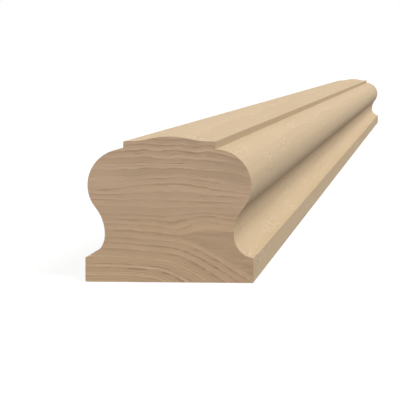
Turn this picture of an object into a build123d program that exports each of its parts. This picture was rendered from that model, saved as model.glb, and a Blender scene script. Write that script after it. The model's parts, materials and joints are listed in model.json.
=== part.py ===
from build123d import *
import os
from math import sqrt

# A wooden stair handrail: one straight stick of hardwood, moulded to one profile from end to end.
# X runs across the rail, Y along it and Z up. The origin is the middle of the flat underside.
# All sizes are in millimetres. Heights are measured up from the underside.

# Overall sizes
inch = 25.4
rail_length = 96 * inch
rail_width = 2.75 * inch
rail_height = 2.375 * inch

# Square-sided base, which sits on the balusters and newels
base_side_height = 10.25

# Neck: the finger grips cut into both sides, one hollow below the narrowest point and one above
neck_depth = 8.15
lower_cove_radius = 9.5
upper_cove_radius = 17.85

# Round shoulders over the neck, and how far they stand in from the sides of the base
shoulder_inset = 0.95

# Raised top: a step up from the shoulders, a narrow flat, then a double curve to the crown
step_height = 3.25
flat_width = 2.5
crown_rise = 2.0

# Long corners, sanded just enough to take the sharpness off
eased_corner_radius = 0.4

# Heights and half widths that the sizes above lead to
half_width = rail_width / 2
half_neck = half_width - neck_depth
neck_height = base_side_height + sqrt(neck_depth * (2 * lower_cove_radius - neck_depth))
flat_height = rail_height - crown_rise
ledge_height = flat_height - step_height

# The shoulder is the circle that meets the ledge and the upper cove without a corner
undercut = neck_depth - shoulder_inset
upper_grip_height = ledge_height - neck_height
shoulder_radius = (upper_grip_height + undercut
                   - sqrt(2 * undercut * (upper_grip_height + upper_cove_radius)))
shoulder_centre_x = half_width - shoulder_inset - shoulder_radius
shoulder_centre_z = ledge_height - shoulder_radius

# The upper cove turns into the shoulder on the line between their two centres
upper_cove_centre_x = half_neck + upper_cove_radius
turn_share = shoulder_radius / (shoulder_radius + upper_cove_radius)
turn_x = shoulder_centre_x + turn_share * (upper_cove_centre_x - shoulder_centre_x)
turn_z = shoulder_centre_z + turn_share * (neck_height - shoulder_centre_z)

# The raised top starts where the shoulder's circle is level, and its double curve inside the flat
half_raised_top = shoulder_centre_x
half_crown = half_raised_top - flat_width

far_end = Plane.XZ.offset(-rail_length / 2)

with BuildPart() as handrail:
    with BuildSketch(far_end) as profile:
        with BuildLine() as outline:
            base = Polyline((0, 0), (half_width, 0), (half_width, base_side_height))
            lower_cove = TangentArc((half_neck, neck_height), base @ 1, tangent=(0, -1))
            upper_cove = TangentArc(lower_cove @ 0, (turn_x, turn_z), tangent=(0, 1))
            shoulder = TangentArc(upper_cove @ 1, (half_raised_top, ledge_height), tangent=upper_cove % 1)
            step = Polyline(shoulder @ 1, (half_raised_top, flat_height), (half_crown, flat_height))
            crown_foot = TangentArc(step @ 1, (half_crown / 2, rail_height - crown_rise / 2), tangent=(-1, 0))
            crown_top = TangentArc(crown_foot @ 1, (0, rail_height), tangent=crown_foot % 1)
            mirror(about=Plane.YZ)
        make_face()

        across = profile.vertices().group_by(Axis.X)
        base_corners = across[0] + across[-1]
        top_corners = profile.vertices().filter_by_position(Axis.Y, flat_height, flat_height)
        step_corners = [top_corners.sort_by(Axis.X)[0], top_corners.sort_by(Axis.X)[-1]]
        fillet(base_corners + step_corners, eased_corner_radius)
    extrude(amount=rail_length)
handrail.part.label = "handrail"

os.makedirs("parts", exist_ok=True)
export_step(handrail.part, "parts/handrail.step")
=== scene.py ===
"""Dresses a moulded hardwood stair handrail and sets it in a plain studio.

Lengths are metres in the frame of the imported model: X runs across the rail, Y along it and Z up,
with the origin in the middle of the flat underside. The wood's own pattern is laid out in millimetres.
"""
import json
import logging
import math
from dataclasses import dataclass
from enum import Enum

import bpy
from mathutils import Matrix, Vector


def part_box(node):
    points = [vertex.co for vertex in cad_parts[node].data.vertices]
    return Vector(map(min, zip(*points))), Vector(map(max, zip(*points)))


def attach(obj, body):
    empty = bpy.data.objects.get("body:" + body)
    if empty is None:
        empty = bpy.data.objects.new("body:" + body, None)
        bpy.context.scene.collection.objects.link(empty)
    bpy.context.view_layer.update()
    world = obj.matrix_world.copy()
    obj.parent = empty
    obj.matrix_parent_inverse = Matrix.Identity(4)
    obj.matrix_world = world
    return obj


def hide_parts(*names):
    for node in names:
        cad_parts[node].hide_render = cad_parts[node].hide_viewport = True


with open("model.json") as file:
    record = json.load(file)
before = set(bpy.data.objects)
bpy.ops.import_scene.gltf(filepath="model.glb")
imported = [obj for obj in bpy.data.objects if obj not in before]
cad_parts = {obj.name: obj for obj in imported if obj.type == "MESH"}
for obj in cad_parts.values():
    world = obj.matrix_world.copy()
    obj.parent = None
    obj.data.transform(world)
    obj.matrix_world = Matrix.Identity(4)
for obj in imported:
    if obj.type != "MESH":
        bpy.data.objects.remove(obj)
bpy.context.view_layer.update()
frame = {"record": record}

MM = 0.001

Socket = bpy.types.NodeSocket
Cell = tuple[float, float, float]
Colour = tuple[float, float, float, float]
Input = Socket | float | Cell | Colour

log = logging.getLogger("handrail")


class Grain(Enum):
    """Which way the cut runs through the wood. The value is the material slot on the rail."""

    LONG = 0
    END = 1


def linear(red: int, green: int, blue: int) -> Colour:
    """Turns a colour as seen on a screen into the linear colour that a shader takes.

    Args:
        red: red, from 0 to 255.
        green: green, from 0 to 255.
        blue: blue, from 0 to 255.

    Returns:
        Linear red, green and blue, and a full alpha.
    """
    shares = [value / 255 for value in (red, green, blue)]
    return (*[s / 12.92 if s <= 0.04045 else ((s + 0.055) / 1.055) ** 2.4 for s in shares], 1.0)


def grey(level: float) -> Colour:
    """Gives the linear grey of a level between 0, black, and 1, white."""
    return (level, level, level, 1.0)


class NodeSheet:
    """A node tree that short calls fill from left to right."""

    # The places of a Mix node's two colours, and of the mixed colour among its outputs
    MIX_FIRST, MIX_SECOND, MIX_RESULT = 6, 7, 2

    def __init__(self, tree: bpy.types.NodeTree) -> None:
        """Takes over a tree and empties it."""
        self.tree = tree
        tree.nodes.clear()

    def feed(self, socket: Socket, value: Input) -> None:
        """Gives an input socket its value.

        Args:
            socket: the input to set.
            value: an output socket to link from, or a plain value.
        """
        if isinstance(value, Socket):
            self.tree.links.new(value, socket)
        else:
            socket.default_value = value

    def add(self, kind: str, inputs: dict | None = None, **settings: object) -> bpy.types.Node:
        """Adds a node.

        Args:
            kind: the node's type, without its ShaderNode prefix.
            inputs: what each input takes, by its name or its place.
            settings: the node's own options.

        Returns:
            The new node.
        """
        node = self.tree.nodes.new("ShaderNode" + kind)
        for option, value in settings.items():
            setattr(node, option, value)
        for name, value in (inputs or {}).items():
            self.feed(node.inputs[name], value)
        return node

    def group(self, tree: bpy.types.NodeTree, inputs: dict[str, Input]) -> bpy.types.bpy_prop_collection:
        """Places a shader group.

        Args:
            tree: the group.
            inputs: what each named input takes.

        Returns:
            The placed group's outputs.
        """
        node = self.tree.nodes.new("ShaderNodeGroup")
        node.node_tree = tree
        for name, value in inputs.items():
            self.feed(node.inputs[name], value)
        return node.outputs

    def calc(self, operation: str, *values: Input) -> Socket:
        """Adds a Math node.

        Args:
            operation: the node's operation.
            values: its operands.

        Returns:
            The result.
        """
        return self.add("Math", dict(enumerate(values)), operation=operation).outputs[0]

    def chain(self, operation: str, *values: Input) -> Socket:
        """Runs one operation through a row of values.

        Args:
            operation: a Math node's operation.
            values: two or more operands.

        Returns:
            The last result.
        """
        result = values[0]
        for value in values[1:]:
            result = self.calc(operation, result, value)
        return result

    def scaled(self, vector: Input, scale: Input) -> Socket:
        """Multiplies a vector or a colour by one number.

        Args:
            vector: the vector or colour.
            scale: the number.

        Returns:
            The product.
        """
        return self.add("VectorMath", {0: vector, "Scale": scale}, operation="SCALE").outputs["Vector"]

    def mix(self, share: Input, first: Input, second: Input) -> Socket:
        """Mixes two colours.

        Args:
            share: how much of the second one there is.
            first: the first colour.
            second: the second colour.

        Returns:
            The mixed colour.
        """
        inputs = {"Factor": share, self.MIX_FIRST: first, self.MIX_SECOND: second}
        return self.add("Mix", inputs, data_type="RGBA").outputs[self.MIX_RESULT]

    def ease(self, value: Input, start: Input, end: Input, low: float = 0.0, high: float = 1.0) -> Socket:
        """Eases a value from one level to another.

        Args:
            value: the value to read.
            start: where the result is still low.
            end: where the result reaches high.
            low: the result before start.
            high: the result past end.

        Returns:
            The eased result.
        """
        inputs = {"Value": value, "From Min": start, "From Max": end, "To Min": low, "To Max": high}
        return self.add("MapRange", inputs, interpolation_type="SMOOTHSTEP").outputs["Result"]

    def noise(self, vector: Socket, cell: Cell, detail: float = 2.0, roughness: float = 0.5) -> Socket:
        """Adds a noise whose features have a size of their own along each axis.

        Args:
            vector: the position to read, in the units of cell.
            cell: the size of a feature along X, Y and Z.
            detail: how many finer layers it has.
            roughness: how strong those layers are.

        Returns:
            A value round one half, seldom near 0 or 1.
        """
        cells = self.add("Mapping", {"Vector": vector, "Scale": [1 / size for size in cell]})
        return self.add("TexNoise", {"Vector": cells.outputs[0], "Scale": 1.0, "Detail": detail,
                                     "Roughness": roughness}).outputs["Fac"]

    def swing(self, vector: Socket, cell: Cell, reach: float, detail: float = 2.0) -> Socket:
        """Makes a noise that swings about zero.

        Args:
            vector: the position to read.
            cell: the size of a feature along X, Y and Z.
            reach: how far it swings each way.
            detail: how many finer layers it has.

        Returns:
            A value between minus reach and reach.
        """
        return self.calc("MULTIPLY_ADD", self.noise(vector, cell, detail), 2 * reach, -reach)


class ShaderGroup(NodeSheet):
    """A shader group with named inputs and outputs."""

    KINDS = {"value": "NodeSocketFloat", "vector": "NodeSocketVector", "colour": "NodeSocketColor"}

    def __init__(self, name: str, inputs: dict[str, str], outputs: dict[str, str]) -> None:
        """Makes the group and its sockets.

        Args:
            name: the group's name.
            inputs: each input's name and its kind, one of KINDS.
            outputs: each output's name and its kind.
        """
        super().__init__(bpy.data.node_groups.new(name, "ShaderNodeTree"))
        for in_out, sockets in (("INPUT", inputs), ("OUTPUT", outputs)):
            for socket, kind in sockets.items():
                self.tree.interface.new_socket(socket, in_out=in_out, socket_type=self.KINDS[kind])
        self.inputs = self.tree.nodes.new("NodeGroupInput").outputs
        self.outputs = self.tree.nodes.new("NodeGroupOutput").inputs

    def put_out(self, values: dict[str, Socket]) -> bpy.types.NodeTree:
        """Gives the group's outputs their values.

        Args:
            values: what each named output gives.

        Returns:
            The finished group.
        """
        for name, value in values.items():
            self.feed(self.outputs[name], value)
        return self.tree


class WoodGroup(ShaderGroup):
    """A shader group that reads the wood at a position, and works in millimetres."""

    def __init__(self, name: str, *outputs: str) -> None:
        """Makes the group.

        Args:
            name: the group's name.
            outputs: the names of its outputs, each a value.
        """
        super().__init__(name, {"Position": "vector"}, dict.fromkeys(outputs, "value"))
        self.position = self.scaled(self.inputs["Position"], 1 / MM)
        parts = self.add("SeparateXYZ", {"Vector": self.position}).outputs
        self.x, self.z = parts["X"], parts["Z"]


class ProfilePen:
    """Draws an outline in edit mode, edge by edge, with the extrude and spin tools."""

    def __init__(self, name: str, station: float, chord_error: float) -> None:
        """Starts a mesh with one vertex on the rail's centre line, at the underside.

        Args:
            name: the new object's name.
            station: where along the rail the outline is drawn.
            chord_error: how far a flat segment may stray from its arc.
        """
        bpy.ops.object.select_all(action="DESELECT")
        bpy.ops.mesh.primitive_plane_add(size=MM, location=(0.0, station, 0.0))
        self.object = bpy.context.active_object
        self.object.name = name
        bpy.ops.object.transform_apply(location=True, rotation=False, scale=False)
        bpy.ops.object.mode_set(mode="EDIT")
        bpy.ops.mesh.select_mode(type="VERT")
        bpy.ops.mesh.select_all(action="SELECT")
        bpy.ops.mesh.merge(type="CENTER")
        self.station = station
        self.chord_error = chord_error
        self.x, self.z = 0.0, 0.0

    def line_to(self, x: float, z: float) -> None:
        """Extrudes the last vertex straight to a point.

        Args:
            x: the point's place across the rail.
            z: its height.
        """
        step = (x - self.x, 0.0, z - self.z)
        bpy.ops.mesh.extrude_region_move(TRANSFORM_OT_translate={"value": step})
        self.x, self.z = x, z

    def arc_about(self, centre_x: float, centre_z: float, sweep: float) -> None:
        """Spins the last vertex round a centre.

        Args:
            centre_x: the centre's place across the rail.
            centre_z: its height.
            sweep: the angle to spin through, positive from +X towards +Z.
        """
        across, up = self.x - centre_x, self.z - centre_z
        radius = math.hypot(across, up)
        step = 2 * math.acos(1 - self.chord_error / radius)
        bpy.ops.mesh.spin(steps=math.ceil(abs(sweep) / step), angle=sweep,
                          center=(centre_x, self.station, centre_z), axis=(0.0, 1.0, 0.0))
        start = math.atan2(up, across)
        self.x = centre_x + radius * math.cos(start + sweep)
        self.z = centre_z + radius * math.sin(start + sweep)


@dataclass(frozen=True)
class RailProfile:
    """The moulded section of the rail: the sizes that a moulding cutter would be ground to."""

    width: float
    height: float
    base_side_height: float = 10.25 * MM
    neck_depth: float = 8.15 * MM
    lower_cove_radius: float = 9.5 * MM
    upper_cove_radius: float = 17.85 * MM
    shoulder_inset: float = 0.95 * MM
    step_height: float = 3.25 * MM
    flat_width: float = 2.5 * MM
    crown_rise: float = 2.0 * MM
    eased_corner: float = 0.4 * MM

    @property
    def half_width(self) -> float:
        """Half the width of the base."""
        return self.width / 2

    @property
    def neck_x(self) -> float:
        """Half the width of the neck at its narrowest."""
        return self.half_width - self.neck_depth

    @property
    def neck_z(self) -> float:
        """The height of the neck's narrowest point."""
        return self.base_side_height + math.sqrt(
            self.neck_depth * (2 * self.lower_cove_radius - self.neck_depth))

    @property
    def flat_z(self) -> float:
        """The height of the narrow flat beside the crown."""
        return self.height - self.crown_rise

    @property
    def ledge_z(self) -> float:
        """The height of the shoulder's top, at the foot of the step."""
        return self.flat_z - self.step_height

    @property
    def shoulder_radius(self) -> float:
        """Works out the shoulder's radius from what it meets.

        Returns:
            The radius that meets both the ledge and the upper cove without a corner.
        """
        undercut = self.neck_depth - self.shoulder_inset
        grip = self.ledge_z - self.neck_z
        return grip + undercut - math.sqrt(2 * undercut * (grip + self.upper_cove_radius))

    @property
    def shoulder_x(self) -> float:
        """Half the width of the raised top, which starts over the shoulder's centre."""
        return self.half_width - self.shoulder_inset - self.shoulder_radius

    def draw_half(self, pen: ProfilePen) -> None:
        """Draws the right half of the section, from the middle of the underside to the crown.

        Args:
            pen: the pen, at the middle of the underside.
        """
        self.draw_base(pen)
        self.draw_grip(pen)
        self.draw_raised_top(pen)

    def draw_base(self, pen: ProfilePen) -> None:
        """Draws the underside, the base's side, both of its eased corners and the lower cove.

        Args:
            pen: the pen, at the middle of the underside.
        """
        ease, cove = self.eased_corner, self.lower_cove_radius
        corner_x, cove_x = self.half_width - ease, self.neck_x + cove
        corner_z = self.neck_z - math.sqrt((cove + ease) ** 2 - (cove_x - corner_x) ** 2)
        turn = math.atan2(self.neck_z - corner_z, cove_x - corner_x)
        pen.line_to(corner_x, 0.0)
        pen.arc_about(corner_x, ease, math.pi / 2)
        pen.line_to(self.half_width, corner_z)
        pen.arc_about(corner_x, corner_z, turn)
        pen.arc_about(cove_x, self.neck_z, -turn)

    def draw_grip(self, pen: ProfilePen) -> None:
        """Draws the upper cove and the round shoulder over it.

        Args:
            pen: the pen, at the neck's narrowest point.
        """
        cove_x = self.neck_x + self.upper_cove_radius
        shoulder_z = self.ledge_z - self.shoulder_radius
        turn = math.atan2(shoulder_z - self.neck_z, cove_x - self.shoulder_x)
        pen.arc_about(cove_x, self.neck_z, -turn)
        pen.arc_about(self.shoulder_x, shoulder_z, math.pi / 2 + turn)

    def draw_raised_top(self, pen: ProfilePen) -> None:
        """Draws the step, the narrow flat and the double curve up to the crown.

        Args:
            pen: the pen, on top of the shoulder.
        """
        ease, top_x = self.eased_corner, self.shoulder_x
        run = top_x - self.flat_width
        radius = (run ** 2 + self.crown_rise ** 2) / (4 * self.crown_rise)
        turn = math.asin(run / 2 / radius)
        pen.line_to(top_x, self.flat_z - ease)
        pen.arc_about(top_x - ease, self.flat_z - ease, math.pi / 2)
        pen.line_to(run, self.flat_z)
        pen.arc_about(run, self.flat_z + radius, -turn)
        pen.arc_about(0.0, self.height - radius, turn)


@dataclass(frozen=True)
class Spot:
    """A soft-edged place in the board's section, in millimetres, and what it adds there at its middle."""

    centre_x: float
    centre_z: float
    half_width: float
    half_height: float
    amount: float

    def place(self, sheet: WoodGroup, spot: bpy.types.NodeTree) -> Socket:
        """Adds this spot to a sheet.

        Args:
            sheet: where the spot goes.
            spot: the spot's shader group.

        Returns:
            What it adds at the position that the sheet reads.
        """
        return sheet.group(spot, {
            "X": sheet.x, "Z": sheet.z, "Centre X": self.centre_x, "Centre Z": self.centre_z,
            "Half Width": self.half_width, "Half Height": self.half_height, "Amount": self.amount,
        })["Amount"]

    @staticmethod
    def group() -> bpy.types.NodeTree:
        """Makes the group that gives the whole amount at one place and fades to nothing further off.

        Returns:
            The group, whose output is the part of the amount that a position gets.
        """
        names = ("X", "Z", "Centre X", "Centre Z", "Half Width", "Half Height", "Amount")
        sheet = ShaderGroup("soft spot", dict.fromkeys(names, "value"), {"Amount": "value"})
        into = sheet.inputs
        squares = []
        for place, centre, half in (("X", "Centre X", "Half Width"), ("Z", "Centre Z", "Half Height")):
            offset = sheet.calc("DIVIDE", sheet.calc("SUBTRACT", into[place], into[centre]), into[half])
            squares.append(sheet.calc("MULTIPLY", offset, offset))
        falloff = sheet.calc("EXPONENT", sheet.calc("MULTIPLY", sheet.chain("ADD", *squares), -1.0))
        return sheet.put_out({"Amount": sheet.calc("MULTIPLY", falloff, into["Amount"])})


@dataclass(frozen=True)
class Layers:
    """One set of layers, in millimetres: how thick they are, and how their dark tops are drawn."""

    spacing: float

    # A dark top fades in over shade and ends over edge. The light foot above it fades out over shade
    shade: float
    edge: float = 0.22
    unevenness: float = 0.85
    faintest: float = 0.4

    def draw(self, sheet: WoodGroup, depth: Socket) -> tuple[Socket, Socket, Socket]:
        """Cuts the depth through the board into layers of uneven thickness.

        Args:
            sheet: where the nodes go.
            depth: how high in the board a point lies.

        Returns:
            The dark tops of the layers and their light feet, each with a strength of its own, and a
            level for each layer.
        """
        count = sheet.calc("DIVIDE", depth, self.spacing)
        uneven = {"W": count, "Scale": 1.0, "Randomness": self.unevenness}
        border = sheet.add("TexVoronoi", uneven, voronoi_dimensions="1D", feature="DISTANCE_TO_EDGE")
        border = border.outputs["Distance"]
        layer = sheet.add("TexVoronoi", uneven, voronoi_dimensions="1D", feature="F1").outputs
        level = sheet.add("SeparateColor", {"Color": layer["Color"]}).outputs
        edge, shade = self.edge / self.spacing, self.shade / self.spacing
        upper = sheet.calc("GREATER_THAN", count, layer["W"])
        top = sheet.ease(border, sheet.calc("MULTIPLY_ADD", upper, shade - edge, edge), 0.0)
        foot = sheet.calc("MULTIPLY", sheet.ease(border, shade, edge), sheet.calc("SUBTRACT", 1.0, upper))
        dark, light = [sheet.calc("MULTIPLY_ADD", level[channel], 1 - self.faintest, self.faintest)
                       for channel in ("Red", "Blue")]
        return sheet.calc("MULTIPLY", top, dark), sheet.calc("MULTIPLY", foot, light), level["Green"]


@dataclass(frozen=True)
class Board:
    """How the tree's yearly layers lie in the board that the rail is cut from, in millimetres.

    The layers lie flat in the upper two thirds. Under one thick layer, the lower ones turn down
    towards the right-hand corner. They run the length of the rail with only a slow drift.
    """

    yearly: Layers = Layers(spacing=2.6, shade=1.5)
    fine: Layers = Layers(spacing=0.95, shade=0.45)
    fine_strength: float = 0.6
    phase: float = 2.4

    # The lower layers turn down past turn_start, and the deepest of them past turn_start_below
    turn_height: float = 20.0
    turn_start: float = 8.0
    turn_start_below: float = -3.0
    turn_softness: float = 8.0
    turn_slope: float = 0.62

    # How far the layers wander, and over what distances. The waves calm down low in the board
    drift: float = 2.0
    drift_cell: Cell = (50.0, 500.0, 50.0)
    waves: float = 1.0
    wave_cell: Cell = (9.0, 160.0, 5.0)
    ripples: float = 0.3
    ripple_cell: Cell = (2.2, 60.0, 1.2)
    calm_below: float = 16.0
    lively_above: float = 28.0
    calm_share: float = 0.3

    # Where lines fade: the noise level at which they are faintest, and the one at which they are whole
    fade_cell: Cell = (10.0, 300.0, 1.7)
    fade_levels: tuple[float, float] = (0.36, 0.62)
    faintest_line: float = 0.25
    fine_fade_cell: Cell = (8.0, 200.0, 3.5)
    fine_fade_levels: tuple[float, float] = (0.42, 0.62)
    fine_whole_below: float = 7.0
    fine_fades_above: float = 12.0

    swells: tuple[Spot, ...] = (
        # A low arch over the middle, then the dip and the rise of the kink in the neck
        Spot(3.0, 42.0, 13.0, 5.0, 1.9),
        Spot(2.5, 22.5, 5.5, 4.0, -1.6),
        Spot(15.5, 25.5, 9.5, 5.0, 2.4),
        # Layers that sink at the left shoulder, and further at the right one
        Spot(-27.0, 38.5, 6.0, 3.0, -1.2),
        Spot(35.0, 52.0, 10.0, 7.0, -4.0),
        Spot(33.0, 40.0, 9.0, 4.0, -2.5),
        # Small humps under the crown
        Spot(-10.5, 54.0, 4.0, 6.0, 1.0),
        Spot(4.5, 54.0, 4.5, 7.0, 1.3),
        Spot(16.0, 56.0, 4.0, 5.0, 0.8),
    )
    patches: tuple[Spot, ...] = (
        # Darker wood at the right shoulder, a light band through the kink, and darker wood under it
        Spot(27.0, 47.0, 11.0, 6.0, -1.0),
        Spot(12.0, 55.0, 10.0, 5.0, -0.3),
        Spot(16.0, 22.6, 11.0, 1.8, 0.6),
        Spot(24.0, 15.0, 7.0, 4.5, -0.5),
        # Lighter wood at the left shoulder, under the crown and at the left of the base
        Spot(-29.0, 45.0, 8.0, 5.0, 0.7),
        Spot(-4.0, 51.0, 12.0, 4.0, 0.3),
        Spot(-24.0, 5.0, 14.0, 6.0, 0.3),
        # A dark streak in from the left side
        Spot(-26.0, 38.2, 6.5, 1.4, -0.8),
    )
    clearness: tuple[Spot, ...] = (
        # Stronger lines under the crown, in the arch and across the base
        Spot(2.0, 54.0, 24.0, 6.0, 0.9),
        Spot(4.0, 42.0, 14.0, 2.0, 0.2),
        Spot(-8.0, 4.0, 34.0, 7.0, 0.55),
        Spot(14.0, 9.0, 14.0, 6.0, 0.35),
        # Fainter ones left of the middle, in both shoulders and in the thick layer beside the kink
        Spot(-11.0, 32.0, 13.0, 3.5, -0.75),
        Spot(-29.0, 46.0, 8.0, 5.0, -0.6),
        Spot(27.0, 45.5, 7.0, 4.0, -0.7),
        Spot(24.0, 15.5, 7.0, 4.0, -0.8),
        Spot(17.0, 22.6, 9.0, 1.3, -0.8),
        Spot(-5.0, 38.0, 9.0, 1.5, -0.5),
        Spot(-22.0, 40.5, 11.0, 2.2, -0.7),
        Spot(29.0, 39.5, 7.0, 2.5, -0.6),
    )
    patch_drift: float = 0.5
    patch_cell: Cell = (22.0, 260.0, 16.0)

    # The wood is at its warmest below warm_below, and has none of that colour above warm_above
    warm_above: float = 46.0
    warm_below: float = 10.0
    warmth_drift: float = 0.8
    warmth_cell: Cell = (12.0, 200.0, 6.0)

    def group(self) -> bpy.types.NodeTree:
        """Makes the group that reads the board at a position.

        Returns:
            The group. Ring Line is the dark top of each layer, Ring Glow its light foot, Ring Tone a
            level of its own for each layer, Patch a slow lighter and darker drift over the board, and
            Warmth how brown the wood is.
        """
        sheet = WoodGroup("layers of the board", "Ring Line", "Ring Glow", "Ring Tone", "Patch", "Warmth")
        spot = Spot.group()
        swells, patches, clearness = [[place.place(sheet, spot) for place in places]
                                      for places in (self.swells, self.patches, self.clearness)]
        depth = self.depth(sheet, swells)
        line, glow, tone = self.yearly.draw(sheet, depth)
        fade = sheet.noise(sheet.position, self.fade_cell)
        fade = sheet.ease(fade, *self.fade_levels, self.faintest_line)
        line = sheet.calc("MAXIMUM", sheet.calc("MULTIPLY", line, fade), self.fine_lines(sheet, depth))
        clear = sheet.chain("ADD", 1.0, *clearness)
        patch_drift = sheet.swing(sheet.position, self.patch_cell, self.patch_drift)
        warmth = sheet.ease(sheet.z, self.warm_above, self.warm_below)
        warmth_drift = sheet.swing(sheet.position, self.warmth_cell, self.warmth_drift)
        return sheet.put_out({
            "Ring Line": sheet.calc("MULTIPLY", line, clear),
            "Ring Glow": sheet.chain("MULTIPLY", glow, fade, clear),
            "Ring Tone": tone,
            "Patch": sheet.chain("ADD", *patches, patch_drift),
            "Warmth": sheet.calc("ADD", warmth, warmth_drift),
        })

    def depth(self, sheet: WoodGroup, swells: list[Socket]) -> Socket:
        """Works out how high in the unbent board a point lies.

        Args:
            sheet: where the nodes go.
            swells: how far each swell lifts the layers.

        Returns:
            The height, which is the same all along one layer.
        """
        calm = sheet.ease(sheet.z, self.calm_below, self.lively_above, self.calm_share)
        waves = sheet.calc("MULTIPLY", sheet.swing(sheet.position, self.wave_cell, self.waves), calm)
        flat = sheet.calc("SUBTRACT", sheet.calc("ADD", sheet.z, waves), sheet.chain("ADD", *swells))
        level = sheet.calc("ADD", sheet.z, self.turn(sheet, self.turn_start))
        start = sheet.add("MapRange", {"Value": level, "From Max": self.turn_height,
                                       "To Min": self.turn_start_below, "To Max": self.turn_start})
        turned = sheet.calc("ADD", sheet.z, self.turn(sheet, start.outputs["Result"]))
        return sheet.chain(
            "ADD",
            sheet.calc("MAXIMUM", flat, sheet.calc("MINIMUM", turned, self.turn_height)),
            sheet.swing(sheet.position, self.drift_cell, self.drift, detail=1.0),
            sheet.swing(sheet.position, self.ripple_cell, self.ripples, detail=3.0),
            self.phase)

    def turn(self, sheet: WoodGroup, start: Input) -> Socket:
        """Works out how far the lower layers have turned down at a place across the rail.

        Args:
            sheet: where the nodes go.
            start: where the layer starts to turn.

        Returns:
            The drop, which starts softly and then grows at an even slope.
        """
        past = sheet.calc("SUBTRACT", sheet.x, start)
        soft = sheet.calc("SQRT", sheet.calc("MULTIPLY_ADD", past, past, self.turn_softness ** 2))
        return sheet.calc("MULTIPLY", sheet.calc("ADD", past, soft), self.turn_slope / 2)

    def fine_lines(self, sheet: WoodGroup, depth: Socket) -> Socket:
        """Draws the thin lines between the yearly ones, which come and go except low in the base.

        Args:
            sheet: where the nodes go.
            depth: how high in the unbent board a point lies.

        Returns:
            How dark the thin lines are.
        """
        fine, _, _ = self.fine.draw(sheet, depth)
        patchy = sheet.ease(sheet.noise(sheet.position, self.fine_fade_cell), *self.fine_fade_levels)
        low = sheet.ease(sheet.z, self.fine_fades_above, self.fine_whole_below)
        return sheet.chain("MULTIPLY", fine, sheet.calc("MAXIMUM", patchy, low), self.fine_strength)


@dataclass(frozen=True)
class Fibres:
    """What runs along the wood, in millimetres: fibres, short pores and clusters of curled flecks."""

    fibre_cell: Cell = (0.7, 60.0, 0.7)
    pore_cell: Cell = (0.35, 4.5, 0.35)
    pore_levels: tuple[float, float] = (0.68, 0.76)
    pore_depth: float = 0.8
    cluster_cell: Cell = (10.0, 90.0, 10.0)
    cluster_levels: tuple[float, float] = (0.52, 0.64)
    curl_cell: Cell = (1.8, 26.0, 1.8)
    light_curl: float = 0.52
    dark_curl: float = 0.43
    dark_curl_share: float = 0.7
    curl_edge: float = 0.055
    curl_core: float = 0.015

    def group(self) -> bpy.types.NodeTree:
        """Makes the group that reads the fibres at a position.

        Returns:
            The group. Fibre is a fine streak between 0 and 1, Pore marks the short dark lines and the
            dark curls, Fleck the light curls, and Height is the surface that they leave.
        """
        sheet = WoodGroup("fibres of the wood", "Fibre", "Pore", "Fleck", "Height")
        fibre = sheet.noise(sheet.position, self.fibre_cell, detail=4.0, roughness=0.6)
        pore = sheet.ease(sheet.noise(sheet.position, self.pore_cell, detail=1.0), *self.pore_levels)
        cluster = sheet.ease(sheet.noise(sheet.position, self.cluster_cell), *self.cluster_levels)
        curls = sheet.noise(sheet.position, self.curl_cell, detail=1.0)
        light, dark = [self.curl(sheet, curls, level, cluster)
                       for level in (self.light_curl, self.dark_curl)]
        pore = sheet.calc("MAXIMUM", pore, sheet.calc("MULTIPLY", dark, self.dark_curl_share))
        height = sheet.calc("SUBTRACT", fibre, sheet.calc("MULTIPLY", pore, self.pore_depth))
        return sheet.put_out({"Fibre": fibre, "Pore": pore, "Fleck": light, "Height": height})

    def curl(self, sheet: WoodGroup, curls: Socket, level: float, cluster: Socket) -> Socket:
        """Draws the thin curled lines along which a noise stays at one level.

        Args:
            sheet: where the nodes go.
            curls: the noise.
            level: the level.
            cluster: where the lines may show.

        Returns:
            1 on the lines, and 0 elsewhere.
        """
        off = sheet.calc("ABSOLUTE", sheet.calc("SUBTRACT", curls, level))
        return sheet.calc("MULTIPLY", sheet.ease(off, self.curl_edge, self.curl_core), cluster)


def tint_group() -> bpy.types.NodeTree:
    """Makes the group that turns the wood's pattern into colour.

    Returns:
        The group. It browns the colour where the wood is warm, darkens it along the ring lines and
        lets each patch, layer and fibre be a little lighter or darker.
    """
    colours = ("Colour", "Line Colour", "Warm Colour")
    values = ("Ring Line", "Ring Glow", "Ring Tone", "Patch", "Warmth", "Fibre", "Line Strength",
              "Glow Strength", "Tone Strength", "Patch Strength", "Fibre Strength")
    inputs = {**dict.fromkeys(colours, "colour"), **dict.fromkeys(values, "value")}
    sheet = ShaderGroup("tint of the wood", inputs, {"Colour": "colour"})
    into = sheet.inputs
    colour = sheet.mix(into["Warmth"], into["Colour"], into["Warm Colour"])
    line = sheet.calc("MULTIPLY", into["Ring Line"], into["Line Strength"])
    colour = sheet.mix(line, colour, into["Line Colour"])
    level = 1.0
    middles = {"Ring Glow": 0.0, "Ring Tone": 0.5, "Patch": 0.0, "Fibre": 0.5}
    for name, middle in middles.items():
        strength = into[name.removeprefix("Ring ") + " Strength"]
        swing = sheet.calc("MULTIPLY", sheet.calc("SUBTRACT", into[name], middle), strength)
        level = sheet.calc("ADD", swing, level)
    return sheet.put_out({"Colour": sheet.scaled(colour, level)})


@dataclass(frozen=True)
class WoodShaders:
    """The shader groups that both cuts of the wood share."""

    board: bpy.types.NodeTree
    fibre: bpy.types.NodeTree
    tint: bpy.types.NodeTree


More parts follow.
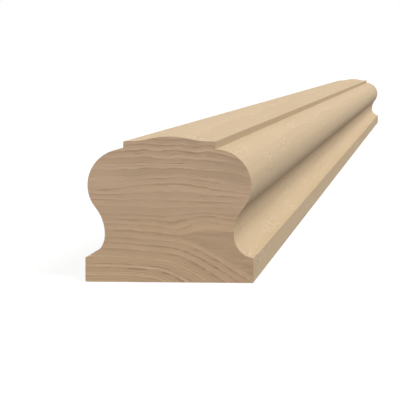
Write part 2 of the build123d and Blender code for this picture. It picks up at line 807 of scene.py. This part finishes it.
@dataclass(frozen=True)
class WoodFinish:
    """A cut surface of the wood: its colours, how strongly the pattern shows in it, and its gloss."""

    name: str
    colour: Colour
    warm: Colour
    line: Colour
    line_strength: float
    glow_strength: float
    tone_strength: float
    patch_strength: float
    fibre_strength: float
    roughness: float
    roughness_swing: float
    bump_height: float
    bump_strength: float = 0.5
    gloss: float = 0.04

    def start(self) -> tuple[bpy.types.Material, NodeSheet, Socket]:
        """Makes an empty material.

        Returns:
            The material, its node sheet and the position on the rail.
        """
        material = bpy.data.materials.new(self.name)
        material.use_nodes = True
        sheet = NodeSheet(material.node_tree)
        return material, sheet, sheet.add("TexCoord").outputs["Object"]

    def tint(self, sheet: NodeSheet, shaders: WoodShaders, board: bpy.types.bpy_prop_collection,
             fibre: Socket) -> Socket:
        """Colours the wood by its pattern.

        Args:
            sheet: where the nodes go.
            shaders: the wood's shader groups.
            board: what the board gives at the position.
            fibre: the fine light and dark in this cut.

        Returns:
            The colour.
        """
        strengths = {"Line": self.line_strength, "Glow": self.glow_strength, "Tone": self.tone_strength,
                     "Patch": self.patch_strength, "Fibre": self.fibre_strength}
        return sheet.group(shaders.tint, {
            "Colour": self.colour, "Warm Colour": self.warm, "Line Colour": self.line,
            **{output.name: output for output in board}, "Fibre": fibre,
            **{name + " Strength": strength for name, strength in strengths.items()},
        })["Colour"]

    def finish(self, sheet: NodeSheet, colour: Socket, grit: Socket, height: Socket) -> None:
        """Puts the surface together.

        Args:
            sheet: where the nodes go.
            colour: the colour.
            grit: what makes the surface rougher, between 0 and 1.
            height: the relief.
        """
        smoothest = self.roughness - self.roughness_swing / 2
        rough = sheet.calc("MULTIPLY_ADD", grit, self.roughness_swing, smoothest)
        bump = sheet.add("Bump", {"Height": height, "Strength": self.bump_strength,
                                  "Distance": self.bump_height})
        surface = sheet.add("BsdfPrincipled", {"Base Color": colour, "Roughness": rough,
                                               "Normal": bump.outputs["Normal"],
                                               "Specular IOR Level": self.gloss})
        sheet.add("OutputMaterial", {"Surface": surface.outputs["BSDF"]})


@dataclass(frozen=True)
class LongGrain(WoodFinish):
    """Planed and sanded wood along the grain: pale, smooth, with a faint figure."""

    name: str = "planed_long_grain"
    colour: Colour = linear(218, 193, 159)
    warm: Colour = linear(218, 193, 158)
    line: Colour = linear(196, 166, 130)
    line_strength: float = 0.16
    glow_strength: float = 0.03
    tone_strength: float = 0.03
    patch_strength: float = 0.02
    fibre_strength: float = 0.16
    roughness: float = 0.65
    roughness_swing: float = 0.16
    bump_height: float = 0.02 * MM
    pore: Colour = linear(184, 152, 118)
    pore_strength: float = 0.35
    fleck: Colour = linear(232, 213, 184)
    fleck_strength: float = 0.5
    # A darker colour painted on the risers of the two steps as shade
    painted_riser_shade: Colour = linear(194, 171, 140)
    painted_riser_shade_strength: float = 0.9
    riser_reach: float = 0.25 * MM
    riser_core: float = 0.1 * MM

    def on_riser(self, sheet: NodeSheet, position: Socket, profile: RailProfile) -> Socket:
        """Finds the risers of the two steps, whose colour is darkened as painted shade.

        Args:
            sheet: where the nodes go.
            position: the place on the rail.
            profile: the rail's section.

        Returns:
            1 on a riser, and 0 elsewhere.
        """
        parts = sheet.add("SeparateXYZ", {"Vector": position}).outputs
        aside = sheet.calc("SUBTRACT", sheet.calc("ABSOLUTE", parts["X"]), profile.shoulder_x)
        near = sheet.ease(sheet.calc("ABSOLUTE", aside), self.riser_reach, self.riser_core)
        above = sheet.ease(parts["Z"], profile.ledge_z, profile.ledge_z + self.riser_core)
        return sheet.calc("MULTIPLY", near, above)

    def make(self, shaders: WoodShaders, profile: RailProfile) -> bpy.types.Material:
        """Makes the material.

        Args:
            shaders: the wood's shader groups.
            profile: the rail's section.

        Returns:
            The material.
        """
        material, sheet, position = self.start()
        board = sheet.group(shaders.board, {"Position": position})
        fibre = sheet.group(shaders.fibre, {"Position": position})
        colour = self.tint(sheet, shaders, board, fibre["Fibre"])
        for mask, mark, strength in ((fibre["Pore"], self.pore, self.pore_strength),
                                     (fibre["Fleck"], self.fleck, self.fleck_strength),
                                     # The riser mask paints shade: the risers are darkened here, not by
                                     # the lamps
                                     (self.on_riser(sheet, position, profile), self.painted_riser_shade,
                                      self.painted_riser_shade_strength)):
            colour = sheet.mix(sheet.calc("MULTIPLY", mask, strength), colour, mark)
        self.finish(sheet, colour, fibre["Fibre"], fibre["Height"])
        return material


@dataclass(frozen=True)
class EndGrain(WoodFinish):
    """Sawn wood across the grain: darker, duller and browner, with its yearly layers showing."""

    name: str = "sawn_end_grain"
    colour: Colour = linear(205, 176, 147)
    warm: Colour = linear(208, 177, 144)
    line: Colour = linear(164, 133, 109)
    line_strength: float = 0.58
    glow_strength: float = 0.14
    tone_strength: float = 0.1
    patch_strength: float = 0.09
    fibre_strength: float = 0.12
    roughness: float = 0.72
    roughness_swing: float = 0.2
    bump_height: float = 0.05 * MM
    pore_cell: Cell = (0.25 * MM, 5.0 * MM, 0.25 * MM)
    saw_cell: Cell = (20.0 * MM, 5.0 * MM, 0.9 * MM)
    line_relief: float = -0.5

    def make(self, shaders: WoodShaders) -> bpy.types.Material:
        """Makes the material.

        Args:
            shaders: the wood's shader groups.

        Returns:
            The material.
        """
        material, sheet, position = self.start()
        board = sheet.group(shaders.board, {"Position": position})
        pores = sheet.noise(position, self.pore_cell, detail=3.0, roughness=0.6)
        colour = self.tint(sheet, shaders, board, pores)
        saw_marks = sheet.noise(position, self.saw_cell)
        lines = sheet.calc("MULTIPLY", board["Ring Line"], self.line_relief)
        self.finish(sheet, colour, pores, sheet.chain("ADD", saw_marks, pores, lines))
        return material


@dataclass(frozen=True)
class Handrail:
    """The rail itself: one stick of wood with the same section from end to end."""

    profile: RailProfile
    near_end: float
    length: float
    finishes: dict[Grain, bpy.types.Material]
    chord_error: float = 0.003 * MM
    smooth_angle: float = math.radians(30)

    def build(self) -> bpy.types.Object:
        """Models the rail.

        Returns:
            The finished object, with its place in its mesh.
        """
        pen = ProfilePen("handrail_moulded", self.near_end, self.chord_error)
        self.profile.draw_half(pen)
        bpy.ops.object.mode_set(mode="OBJECT")
        rail = pen.object
        self.mirror(rail)
        self.run_out()
        self.smooth(rail)
        return rail

    def mirror(self, rail: bpy.types.Object) -> None:
        """Completes the section with its left half.

        Args:
            rail: the half outline.
        """
        mirror = rail.modifiers.new("left half", "MIRROR")
        mirror.use_axis = (True, False, False)
        mirror.use_clip = True
        mirror.merge_threshold = self.chord_error
        bpy.ops.object.modifier_apply(modifier=mirror.name)

    def run_out(self) -> None:
        """Fills the section of the active object and extrudes it to the far end."""
        bpy.ops.object.mode_set(mode="EDIT")
        bpy.ops.mesh.select_all(action="SELECT")
        bpy.ops.mesh.edge_face_add()
        bpy.ops.mesh.extrude_region_move(TRANSFORM_OT_translate={"value": (0.0, self.length, 0.0)})
        bpy.ops.mesh.select_all(action="SELECT")
        bpy.ops.mesh.normals_make_consistent(inside=False)
        bpy.ops.object.mode_set(mode="OBJECT")

    def smooth(self, rail: bpy.types.Object) -> None:
        """Shades the curves smooth, and keeps the flats flat beside them.

        Args:
            rail: the closed mesh.
        """
        bpy.ops.object.shade_smooth_by_angle(angle=self.smooth_angle)
        weighted = rail.modifiers.new("flat faces lead", "WEIGHTED_NORMAL")
        weighted.keep_sharp = True
        bpy.ops.object.modifier_apply(modifier=weighted.name)

    def dress(self, rail: bpy.types.Object) -> None:
        """Gives each face the finish of its cut: end grain where it faces along the rail.

        Args:
            rail: the finished mesh.
        """
        for grain in Grain:
            rail.data.materials.append(self.finishes[grain])
        for face in rail.data.polygons:
            across_the_grain = abs(face.normal.y) > 0.5
            face.material_index = (Grain.END if across_the_grain else Grain.LONG).value


@dataclass(frozen=True)
class Viewpoint:
    """Where the camera stands: a long lens, a metre off the near end, a little high and to the right."""

    from_near_end: float = 1.0193
    right_of_middle: float = 0.1071
    above_underside: float = 0.0940
    turned_left: float = math.radians(5.286)
    tilted_down: float = math.radians(3.344)
    lens: float = 223.9
    film: float = 36.0
    clip: tuple[float, float] = (0.01, 100.0)

    def make(self, near_end: float) -> bpy.types.Object:
        """Makes the scene's camera.

        Args:
            near_end: where along Y the near end lies.

        Returns:
            The camera.
        """
        data = bpy.data.cameras.new("camera")
        data.lens = self.lens
        data.sensor_width = self.film
        data.clip_start, data.clip_end = self.clip
        camera = bpy.data.objects.new("camera", data)
        camera.location = (self.right_of_middle, near_end - self.from_near_end, self.above_underside)
        camera.rotation_euler = (math.pi / 2 - self.tilted_down, 0.0, self.turned_left)
        bpy.context.scene.collection.objects.link(camera)
        bpy.context.scene.camera = camera
        return camera


@dataclass(frozen=True)
class Lamp:
    """A broad lamp, so far off that its light falls evenly along the whole rail."""

    name: str
    strength: float
    towards: tuple[float, float, float]
    spread: float = math.radians(24)

    def make(self) -> None:
        """Adds the lamp to the scene."""
        data = bpy.data.lights.new(self.name, "SUN")
        data.energy = self.strength
        data.angle = self.spread
        lamp = bpy.data.objects.new(self.name, data)
        lamp.rotation_mode = "QUATERNION"
        lamp.rotation_quaternion = Vector(self.towards).to_track_quat("Z", "Y")
        bpy.context.scene.collection.objects.link(lamp)


@dataclass(frozen=True)
class Studio:
    """A plain white room: soft light all round, a lamp in front, a weaker one behind, and a floor."""

    sky: float = 0.36
    lamps: tuple[Lamp, ...] = (
        Lamp("front lamp", 2.64, (0.493, -0.600, 0.630)),
        Lamp("back lamp", 1.9, (-0.70, 0.70, 0.12)),
    )
    floor_size: float = 80.0
    floor_gap: float = 0.1 * MM
    floor_seen: Colour = grey(0.2)
    floor_glow: float = 0.87
    floor_unseen: Colour = grey(0.05)

    @staticmethod
    def seen(sheet: NodeSheet) -> Socket:
        """Tells the rays that show the background from those that only light the object.

        Args:
            sheet: where the nodes go.

        Returns:
            1 for a camera, glossy or transmission ray, and 0 for any other.
        """
        path = sheet.add("LightPath").outputs
        return sheet.chain("MAXIMUM", path["Is Camera Ray"], path["Is Glossy Ray"],
                           path["Is Transmission Ray"])

    def make_sky(self) -> None:
        """Lights the scene evenly from all sides, and shows white behind it."""
        world = bpy.data.worlds.new("sky")
        bpy.context.scene.world = world
        world.use_nodes = True
        sheet = NodeSheet(world.node_tree)
        light = sheet.add("Background", {"Color": grey(1.0), "Strength": self.sky})
        white = sheet.add("Background", {"Color": grey(1.0), "Strength": 1.0})
        shown = sheet.add("MixShader", {0: self.seen(sheet), 1: light.outputs[0], 2: white.outputs[0]})
        sheet.add("OutputWorld", {"Surface": shown.outputs[0]})

    def make_floor(self) -> None:
        """Lays the floor, which shows white with the rail's soft shadow on it."""
        bpy.ops.object.select_all(action="DESELECT")
        bpy.ops.mesh.primitive_plane_add(size=self.floor_size, location=(0.0, 0.0, -self.floor_gap))
        floor = bpy.context.active_object
        floor.name = "floor"
        material = bpy.data.materials.new("floor")
        material.use_nodes = True
        sheet = NodeSheet(material.node_tree)
        pale = sheet.add("BsdfDiffuse", {"Color": self.floor_seen})
        glow = sheet.add("Emission", {"Strength": self.floor_glow})
        shown = sheet.add("AddShader", {0: pale.outputs[0], 1: glow.outputs[0]})
        dim = sheet.add("BsdfDiffuse", {"Color": self.floor_unseen})
        mixed = sheet.add("MixShader", {0: self.seen(sheet), 1: dim.outputs[0], 2: shown.outputs[0]})
        sheet.add("OutputMaterial", {"Surface": mixed.outputs[0]})
        floor.data.materials.append(material)

    def make(self) -> None:
        """Makes the whole studio."""
        self.make_sky()
        for lamp in self.lamps:
            lamp.make()
        self.make_floor()
        bpy.context.scene.view_settings.view_transform = "Standard"


def main() -> None:
    """Builds the rail, its finishes and the studio, and reports each of them."""
    logging.basicConfig(level=logging.INFO, format="%(name)s: %(message)s")
    width, length, height = frame["record"]["size"]["bbox_m"]
    low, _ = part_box("handrail")

    profile = RailProfile(width, height)
    shaders = WoodShaders(Board().group(), Fibres().group(), tint_group())
    finishes = {Grain.LONG: LongGrain().make(shaders, profile), Grain.END: EndGrain().make(shaders)}
    log.info("finishes: %s", ", ".join(finish.name for finish in finishes.values()))

    handrail = Handrail(profile, low.y, length, finishes)
    rail = handrail.build()
    handrail.dress(rail)
    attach(rail, "root")
    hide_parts("handrail")
    log.info("%s: %d faces", rail.name, len(rail.data.polygons))

    Studio().make()
    camera = Viewpoint().make(low.y)
    log.info("studio and %s are in place", camera.name)


if __name__ == "__main__":
    main()
